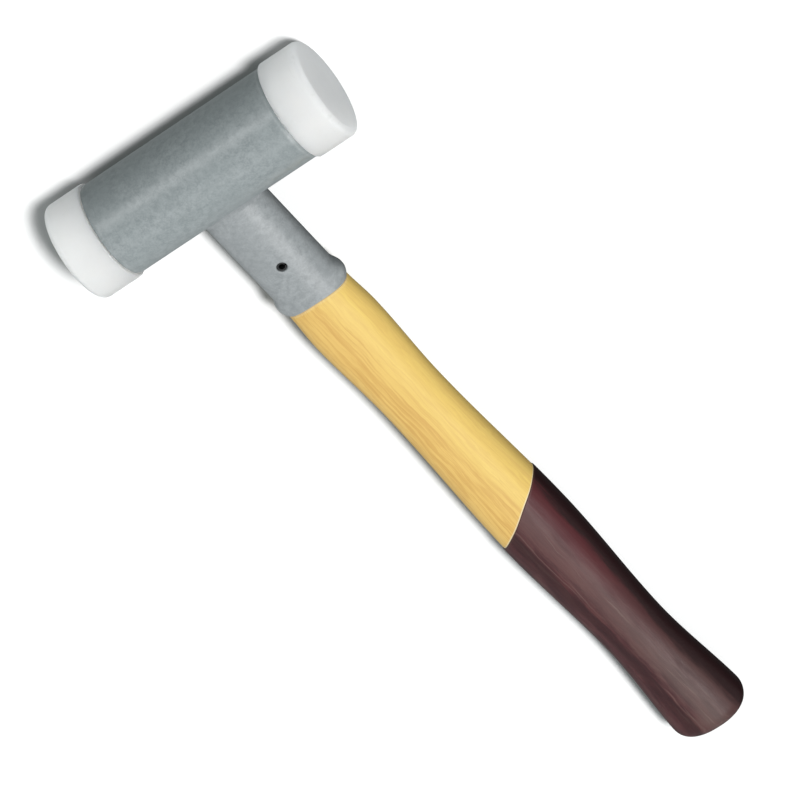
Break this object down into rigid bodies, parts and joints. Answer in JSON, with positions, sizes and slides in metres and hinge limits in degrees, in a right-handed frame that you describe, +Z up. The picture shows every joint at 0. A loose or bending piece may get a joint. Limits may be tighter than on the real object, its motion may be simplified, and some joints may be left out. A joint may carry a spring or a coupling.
{
  "type": "dead blow hammer",
  "caption": "Recoilless hammer: tubular steel head holding loose shot, replaceable nylon faces at both ends, and an oval hickory handle with a dip-coated grip pinned into a welded socket.",
  "frame": {"origin": "on the surface the hammer lies on, below the middle of its bounding box", "axes": "+X along the head towards the front face, +Y from the butt of the handle towards the top of the head, +Z up from the surface the hammer lies on"},
  "size_m": [0.114, 0.36, 0.04],
  "materials": {
    "grey_paint": "mottled grey enamel, semi-gloss",
    "bare_steel": "turned steel",
    "shot_steel": "polished steel balls",
    "nylon": "satin off-white nylon",
    "hickory": "clear-lacquered, grain along the handle",
    "dip_coat": "dark brown dip lacquer, grain showing through",
    "pin_steel": "blackened spring steel"
  },
  "bodies": {
    "hammer": {"head_housing": "grey_paint", "handle_socket": "grey_paint", "socket_weld": "grey_paint", "front_bulkhead": "bare_steel", "rear_bulkhead": "bare_steel", "hickory_handle": "hickory", "grip_coat": "dip_coat", "handle_pin": "pin_steel"},
    "shot": {"shot_charge": "shot_steel"},
    "front_face": {"front_insert": "nylon"},
    "rear_face": {"rear_insert": "nylon"}
  },
  "joints": [
    {"name": "shot_slide", "type": "slide", "parent": "hammer", "child": "shot", "axis": [1, 0, 0], "range_m": [-0.0057, 0.0057]},
    {"name": "front_face_pull", "type": "slide", "parent": "hammer", "child": "front_face", "axis": [1, 0, 0], "range_m": [0, 0.012]},
    {"name": "rear_face_pull", "type": "slide", "parent": "hammer", "child": "rear_face", "axis": [-1, 0, 0], "range_m": [0, 0.012]}
  ]
}
